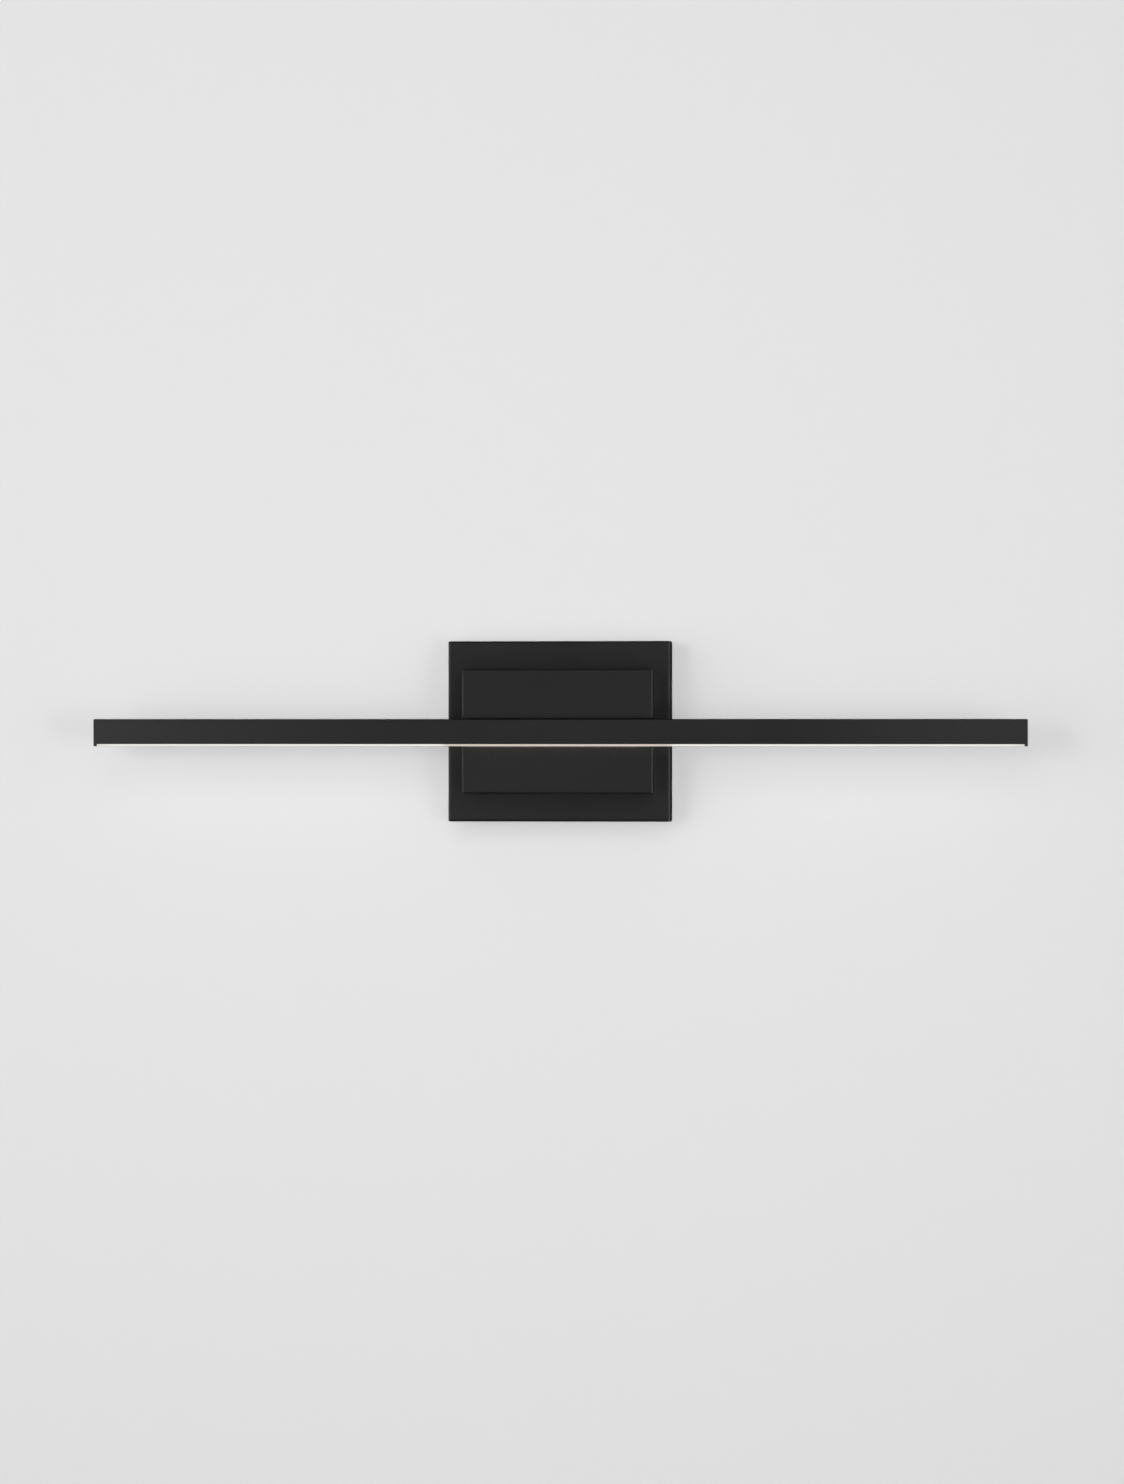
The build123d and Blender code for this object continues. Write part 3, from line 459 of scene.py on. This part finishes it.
def transformerWound(name, settings):
    material, tree, shader = startMaterial(name)
    grain = noise(tree, settings["grain"], detail=3.0)
    low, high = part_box("driver_transformer")
    offset = maths(tree, "SUBTRACT", along(tree, "Z"), (low.z + high.z) / 2)
    tapeFrom = settings["coreHeight"] / 2 + settings["tapeStart"]
    taped = maths(tree, "GREATER_THAN", maths(tree, "ABSOLUTE", offset), tapeFrom)
    core = tint(tree, grain, *settings["ferrite"])
    feed(tree, shader, {
        "Base Color": choose(tree, taped, core, settings["tape"]),
        "Roughness": spread(tree, grain, *settings["roughness"])})
    relief(tree, shader, grain, settings["depth"])
    return material


capacitorFinish = {
    "sleeve": ((0.03, 0.036, 0.06), (0.05, 0.058, 0.09)),
    "stripe": (0.42, 0.44, 0.47),
    "can": (0.60, 0.60, 0.61),
    "roughness": (0.28, 0.42), "grain": 500.0, "depth": 0.00001,
    "stripeStart": 0.0022,  # m, from the can's middle
    "rim": 0.0007,          # m, where the sleeve ends short of the can's top
}


def capacitorSleeved(name, settings):
    material, tree, shader = startMaterial(name)
    grain = noise(tree, settings["grain"])
    low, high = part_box("driver_capacitors")
    stripeFrom = (low.x + high.x) / 2 + settings["stripeStart"]
    striped = maths(tree, "GREATER_THAN", along(tree, "X"), stripeFrom)
    bare = maths(tree, "LESS_THAN", along(tree, "Y"), low.y + settings["rim"])
    wrapped = choose(tree, striped, tint(tree, grain, *settings["sleeve"]), settings["stripe"])
    feed(tree, shader, {
        "Base Color": choose(tree, bare, wrapped, settings["can"]),
        "Metallic": bare,
        "Roughness": spread(tree, grain, *settings["roughness"])})
    relief(tree, shader, grain, settings["depth"])
    return material


chipFinish = {
    "resin": ((0.78, 0.78, 0.75), (0.86, 0.86, 0.84)),
    "phosphor": ((0.80, 0.55, 0.10), (0.92, 0.70, 0.18)),
    "glow": (1.0, 0.90, 0.78), "glowStrength": 0.6,
    "solder": ((0.55, 0.55, 0.56), (0.70, 0.70, 0.71)),
    "roughness": (0.40, 0.55), "grain": 3200.0, "depth": 0.00001,
}


def chipMaterial(name, colours, settings, metal=0.0):
    material, tree, shader = startMaterial(name)
    grain = noise(tree, settings["grain"])
    feed(tree, shader, {
        "Base Color": tint(tree, grain, *colours),
        "Metallic": metal,
        "Roughness": spread(tree, grain, *settings["roughness"])})
    relief(tree, shader, grain, settings["depth"])
    return material


def phosphorGlow(name, settings):
    material = chipMaterial(name, settings["phosphor"], settings)
    tree = material.node_tree
    feed(tree, tree.nodes["Principled BSDF"], {
        "Emission Color": (*settings["glow"], 1), "Emission Strength": settings["glowStrength"]})
    return material


finishes = {
    "black_steel_sheet": powderCoat("plate_powder_coat", plateCoat),
    "black_aluminium": powderCoat("bar_powder_coat", barCoat),
    "frosted_lens": frostedLens("lens_frost", lensFinish),
    "zinc_steel": zincPlate("zinc_plate", zincFinish),
    "ferrite": transformerWound("transformer_core_and_tape", transformerFinish),
    "capacitor_sleeve": capacitorSleeved("capacitor_can", capacitorFinish),
    "light_chip": phosphorGlow("chip_phosphor", chipFinish),
}
for slotName, settings in plainFinishes.items():
    finishes[slotName] = plainFinish(slotName + "_finish", settings)
for slotName, settings in boardFinishes.items():
    finishes[slotName] = printedBoard(slotName + "_finish", settings)
chipResin = chipMaterial("chip_resin", chipFinish["resin"], chipFinish)
solderTin = chipMaterial("solder_tin", chipFinish["solder"], chipFinish, metal=1.0)

for node in nodes.values():
    slotName = node.data.materials[0].name
    node.data.materials[0] = finishes[slotName]
print("finishes made:", len(finishes))


# geometry node helpers

def startTree(name, inputs):
    tree = bpy.data.node_groups.new(name, "GeometryNodeTree")
    tree.interface.new_socket("Geometry", in_out="INPUT", socket_type="NodeSocketGeometry")
    for label, kind in inputs.items():
        tree.interface.new_socket(label, in_out="INPUT", socket_type="NodeSocket" + kind)
    tree.interface.new_socket("Geometry", in_out="OUTPUT", socket_type="NodeSocketGeometry")
    start = tree.nodes.new("NodeGroupInput")
    end = tree.nodes.new("NodeGroupOutput")
    return tree, start.outputs, end


# one copy of the shape on each point, made real and dressed
def placeCopies(tree, inputs, shape, finish, **turning):
    placed = addNode(tree, "GeometryNodeInstanceOnPoints", {
        "Points": inputs["Geometry"], "Instance": shape, **turning})
    real = addNode(tree, "GeometryNodeRealizeInstances", {"Geometry": placed.outputs[0]})
    dressed = addNode(tree, "GeometryNodeSetMaterial", {"Geometry": real.outputs[0], "Material": finish})
    return dressed.outputs[0]


smoothAngle = 32  # degrees between faces, above which an edge stays crisp


def growPiece(name, tree, points, values):
    seats = bpy.data.meshes.new(name + "_seats")
    seats.from_pydata(points, [], [])
    piece = bpy.data.objects.new(name, seats)
    bpy.context.scene.collection.objects.link(piece)
    grower = piece.modifiers.new("grow", "NODES")
    grower.node_group = tree
    for item in tree.interface.items_tree:
        if item.name in values:
            grower[item.identifier] = values[item.name]
    graph = bpy.context.evaluated_depsgraph_get()
    mesh = bpy.data.meshes.new_from_object(piece.evaluated_get(graph))
    piece.modifiers.clear()
    piece.data = mesh
    bpy.data.meshes.remove(seats)
    mesh.shade_smooth()
    mesh.set_sharp_from_angle(angle=math.radians(smoothAngle))
    return piece


# screws

screwSettings = {
    "threadPitch": 0.0005, "threadDepth": 0.00022, "tipLength": 0.0007,
    "recessLength": 1.15, "recessWidth": 0.30, "recessDepth": 0.60,   # shares of the head
    "headRadius": {"m3": 0.0028, "m4": 0.0038}, "headHeight": {"m3": 0.0020, "m4": 0.0024},
    "shankRadius": {"m3": 0.0015, "m4": 0.0020},
    "headSegments": 40, "headRings": 24, "shankSegments": 30, "ringsPerTurn": 6.0,
    "panPower": 0.42,      # below 1 the dome is flatter on top, as a pan head is
    "tipShare": 0.78,      # of the shank's radius
    "recessOver": 1.2,     # times its depth, so that the cutter comes out of the head
    # node: size, whether the head is on the wall's side
    "sets": {
        "housing_screws": ("m3", True), "bar_screws": ("m3", True), "driver_screws": ("m3", False),
        "terminal_block_screws": ("m3", True), "earth_screw": ("m4", True),
    },
}
screwTreeInputs = {
    "Shank Radius": "Float", "Shank Length": "Float", "Head Radius": "Float", "Head Height": "Float",
    "Thread Pitch": "Float", "Thread Depth": "Float", "Tip Length": "Float",
    "Recess Length": "Float", "Recess Width": "Float", "Recess Depth": "Float",
    "Facing": "Rotation", "Finish": "Material",
}


def growHead(tree, inputs, place, settings):  # a ball, flattened under its middle and drawn up to a pan
    x, y, z = place
    ball = addNode(tree, "GeometryNodeMeshUVSphere", {
        "Segments": settings["headSegments"], "Rings": settings["headRings"], "Radius": 1.0})
    dome = maths(tree, "POWER", maths(tree, "MAXIMUM", z, 0.0), settings["panPower"])
    headPlace = combine(
        tree,
        maths(tree, "MULTIPLY", x, inputs["Head Radius"]),
        maths(tree, "MULTIPLY", y, inputs["Head Radius"]),
        maths(tree, "MULTIPLY", dome, inputs["Head Height"]))
    return addNode(tree, "GeometryNodeSetPosition", {"Geometry": ball.outputs[0], "Position": headPlace})


def growShank(tree, inputs, place, settings):  # a tube whose skin follows the thread, tapered at its tip
    x, y, z = place
    length = inputs["Shank Length"]
    pitch = inputs["Thread Pitch"]
    rings = maths(tree, "MULTIPLY", maths(tree, "DIVIDE", length, pitch), settings["ringsPerTurn"])
    tube = addNode(tree, "GeometryNodeMeshCylinder", {
        "Vertices": settings["shankSegments"], "Side Segments": rings, "Radius": 1.0, "Depth": length})
    lowered = maths(tree, "SUBTRACT", z, maths(tree, "MULTIPLY", length, 0.5))
    around = maths(tree, "DIVIDE", maths(tree, "ARCTAN2", y, x), 2 * math.pi)
    wound = maths(tree, "ADD", maths(tree, "DIVIDE", z, pitch), around)
    ridge = maths(tree, "MULTIPLY", maths(tree, "PINGPONG", wound, 0.5), 2.0)
    cut = maths(tree, "MULTIPLY", ridge, inputs["Thread Depth"])
    fromTip = maths(tree, "ADD", lowered, length)
    taper = spread(tree, fromTip, settings["tipShare"], 1.0, 0.0, inputs["Tip Length"])
    skin = maths(tree, "MULTIPLY", maths(tree, "SUBTRACT", inputs["Shank Radius"], cut), taper)
    shankPlace = combine(tree, maths(tree, "MULTIPLY", x, skin), maths(tree, "MULTIPLY", y, skin), lowered)
    return addNode(tree, "GeometryNodeSetPosition", {"Geometry": tube.outputs[0], "Position": shankPlace})


def growRecess(tree, inputs, settings):  # the two bars of the cross that is cut from the head
    depth = inputs["Recess Depth"]
    middle = maths(tree, "SUBTRACT", inputs["Head Height"], maths(tree, "MULTIPLY", depth, 0.5))
    tall = maths(tree, "MULTIPLY", depth, settings["recessOver"])
    bars = []
    for first, second in (("Recess Length", "Recess Width"), ("Recess Width", "Recess Length")):
        size = combine(tree, inputs[first], inputs[second], tall)
        bar = addNode(tree, "GeometryNodeMeshCube", {"Size": size})
        bars.append(addNode(tree, "GeometryNodeTransform", {
            "Geometry": bar.outputs[0], "Translation": combine(tree, 0, 0, middle)}))
    return bars


def makeScrewTree(settings):
    tree, inputs, end = startTree("pan_head_screw", screwTreeInputs)
    position = tree.nodes.new("GeometryNodeInputPosition").outputs[0]
    place = addNode(tree, "ShaderNodeSeparateXYZ", {0: position}).outputs
    head = growHead(tree, inputs, place, settings)
    shank = growShank(tree, inputs, place, settings)
    whole = addNode(tree, "GeometryNodeMeshBoolean", operation="UNION", solver="EXACT")
    for part in (head, shank):
        tree.links.new(part.outputs[0], whole.inputs["Mesh 2"])
    cutHead = addNode(tree, "GeometryNodeMeshBoolean", operation="DIFFERENCE", solver="EXACT")
    feed(tree, cutHead, {"Mesh 1": whole.outputs[0]})
    for bar in growRecess(tree, inputs, settings):
        tree.links.new(bar.outputs[0], cutHead.inputs["Mesh 2"])
    screws = placeCopies(tree, inputs, cutHead.outputs[0], inputs["Finish"], Rotation=inputs["Facing"])
    feed(tree, end, {0: screws})
    return tree


def screwRow(low, high, radius):  # the screws' middles between two ends: two, or one where they meet
    ends = sorted({low + radius, high - radius})
    return ends if ends[-1] - ends[0] >= radius else ends[:1]


def makeScrews(settings):
    tree = makeScrewTree(settings)
    for nodeName, (size, headAtWall) in settings["sets"].items():
        low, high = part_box(nodeName)
        headRadius = settings["headRadius"][size]
        headHeight = settings["headHeight"][size]
        seatY = high.y - headHeight if headAtWall else low.y + headHeight
        columns = screwRow(low.x, high.x, headRadius)
        rows = screwRow(low.z, high.z, headRadius)
        turn = -math.pi / 2 if headAtWall else math.pi / 2
        piece = growPiece(nodeName + "_threaded", tree, [(x, seatY, z) for x in columns for z in rows], {
            "Shank Radius": settings["shankRadius"][size],
            "Shank Length": high.y - low.y - headHeight,
            "Head Radius": headRadius,
            "Head Height": headHeight,
            "Thread Pitch": settings["threadPitch"],
            "Thread Depth": settings["threadDepth"],
            "Tip Length": settings["tipLength"],
            "Recess Length": settings["recessLength"] * headRadius,
            "Recess Width": settings["recessWidth"] * headRadius,
            "Recess Depth": settings["recessDepth"] * headHeight,
            "Facing": (turn, 0, 0),
            "Finish": finishes["zinc_steel"]})
        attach(piece, "fixture")
        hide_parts(nodeName)
        print("screws:", nodeName, len(columns) * len(rows), "of", len(piece.data.polygons), "faces")


makeScrews(screwSettings)


# light chips and what is soldered beside them

chipSettings = {
    "count": 40, "chipLength": 0.0035, "windowShare": 0.74, "windowDepth": 0.00012,
    "padSize": (0.0009, 0.0022, 0.00006), "padGap": 0.0022,      # m, solder beside each chip
    "resistorSize": (0.0016, 0.0008, 0.00045), "resistorAside": 0.0045,
    "resistorFirst": 2, "resistorEvery": 5,                      # chips that have a resistor beside them
}


def makeChipTree():
    tree, inputs, end = startTree("light_chip", {
        "Chip Size": "Vector", "Window Share": "Float", "Window Depth": "Float",
        "Resin": "Material", "Phosphor": "Material"})
    body = addNode(tree, "GeometryNodeMeshCube", {"Size": inputs["Chip Size"]})
    normal = tree.nodes.new("GeometryNodeInputNormal").outputs[0]
    facing = addNode(tree, "ShaderNodeSeparateXYZ", {0: normal}).outputs["Z"]
    under = maths(tree, "LESS_THAN", facing, -0.5)  # the face that shines down
    rim = addNode(tree, "GeometryNodeExtrudeMesh", {
        "Mesh": body.outputs[0], "Selection": under, "Offset Scale": 0.0})
    narrowed = addNode(tree, "GeometryNodeScaleElements", {
        "Geometry": rim.outputs["Mesh"], "Selection": rim.outputs["Top"], "Scale": inputs["Window Share"]})
    sunk = addNode(tree, "GeometryNodeExtrudeMesh", {
        "Mesh": narrowed.outputs[0], "Selection": rim.outputs["Top"],
        "Offset Scale": maths(tree, "MULTIPLY", inputs["Window Depth"], -1.0)})
    chips = placeCopies(tree, inputs, sunk.outputs[0], inputs["Resin"])
    window = addNode(tree, "GeometryNodeSetMaterial", {
        "Geometry": chips, "Selection": sunk.outputs["Top"], "Material": inputs["Phosphor"]})
    feed(tree, end, {0: window.outputs[0]})
    return tree


def makeSlabTree():
    tree, inputs, end = startTree("solder_slab", {"Slab Size": "Vector", "Finish": "Material"})
    slab = addNode(tree, "GeometryNodeMeshCube", {"Size": inputs["Slab Size"]})
    feed(tree, end, {0: placeCopies(tree, inputs, slab.outputs[0], inputs["Finish"])})
    return tree


def makeLightRow(settings):
    low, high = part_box("led_chips")
    middle = (low + high) / 2
    count = settings["count"]
    pitch = (high.x - low.x - settings["chipLength"]) / (count - 1)
    first = low.x + settings["chipLength"] / 2
    places = [first + pitch * index for index in range(count)]
    chips = growPiece("light_chip_row", makeChipTree(), [(x, middle.y, middle.z) for x in places], {
        "Chip Size": (settings["chipLength"], high.y - low.y, high.z - low.z),
        "Window Share": settings["windowShare"],
        "Window Depth": settings["windowDepth"],
        "Resin": chipResin,
        "Phosphor": finishes["light_chip"]})
    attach(chips, "fixture")
    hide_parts("led_chips")
    slabTree = makeSlabTree()
    padZ = high.z - settings["padSize"][2] / 2
    padX = [x + side * settings["padGap"] for x in places for side in (-1, 1)]
    pads = growPiece("chip_solder_pads", slabTree, [(x, middle.y, padZ) for x in padX], {
        "Slab Size": settings["padSize"], "Finish": solderTin})
    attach(pads, "fixture")
    resistorY = middle.y + settings["resistorAside"]
    resistorZ = high.z - settings["resistorSize"][2] / 2
    resistorX = places[settings["resistorFirst"]::settings["resistorEvery"]]
    resistors = growPiece("board_resistors", slabTree, [(x, resistorY, resistorZ) for x in resistorX], {
        "Slab Size": settings["resistorSize"], "Finish": finishes["black_steel"]})
    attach(resistors, "fixture")
    print("light row:", count, "chips")


makeLightRow(chipSettings)


# end

print("done")
